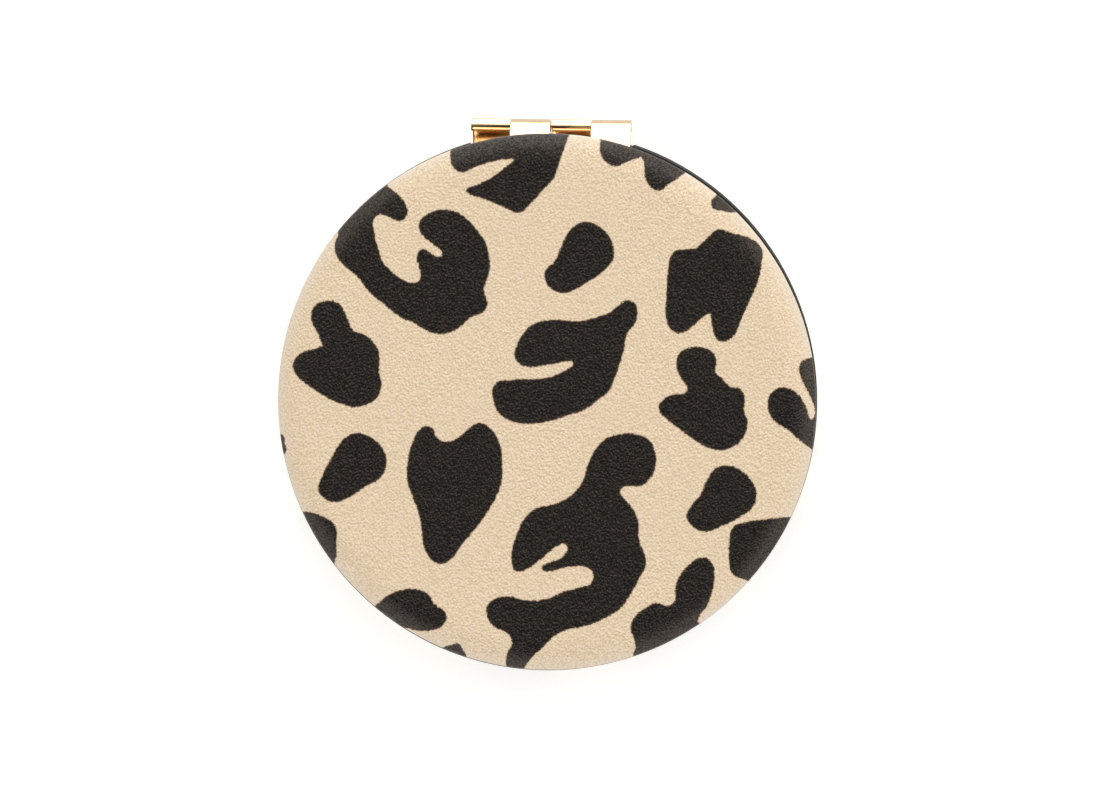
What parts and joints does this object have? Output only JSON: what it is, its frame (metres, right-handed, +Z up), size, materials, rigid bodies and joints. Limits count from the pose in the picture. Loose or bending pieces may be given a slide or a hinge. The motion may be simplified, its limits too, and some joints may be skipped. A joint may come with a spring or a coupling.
{
  "type": "compact mirror",
  "caption": "Round pocket mirror case with padded animal-print covers, a sheet metal knuckle hinge and a mirror in each half that folds open flat.",
  "frame": {"origin": "centre of the base cover's flat outer face, on which the closed case lies", "axes": "+Z up through both discs towards the lid, +Y towards the hinge, +X along the hinge pin"},
  "size_m": [0.0668, 0.0683, 0.0131],
  "materials": {
    "printed_suede": "matte",
    "pad_foam": "matte",
    "card_board": "matte",
    "adhesive": "matte",
    "black_shell": "satin",
    "gold_hinge": "polished",
    "screw_steel": "satin",
    "magnet_nickel": "satin",
    "mirror_glass": "polished"
  },
  "bodies": {
    "base": {"base_cover": "printed_suede", "base_foam": "pad_foam", "base_board": "card_board", "base_cover_glue": "adhesive", "base_tray": "black_shell", "base_hinge_leaf": "gold_hinge", "base_leaf_screws": "screw_steel", "base_magnets": "magnet_nickel", "base_mirror_tape": "adhesive", "base_mirror": "mirror_glass", "hinge_pin": "gold_hinge"},
    "lid": {"lid_cover": "printed_suede", "lid_foam": "pad_foam", "lid_board": "card_board", "lid_cover_glue": "adhesive", "lid_tray": "black_shell", "lid_hinge_leaf": "gold_hinge", "lid_leaf_screws": "screw_steel", "lid_magnets": "magnet_nickel", "lid_mirror_tape": "adhesive", "lid_mirror": "mirror_glass"}
  },
  "joints": [
    {"name": "lid_hinge", "type": "hinge", "parent": "base", "child": "lid", "pos_m": [0, 0.03415, 0.00655], "axis": [-1, 0, 0], "range_deg": [0, 180]}
  ]
}
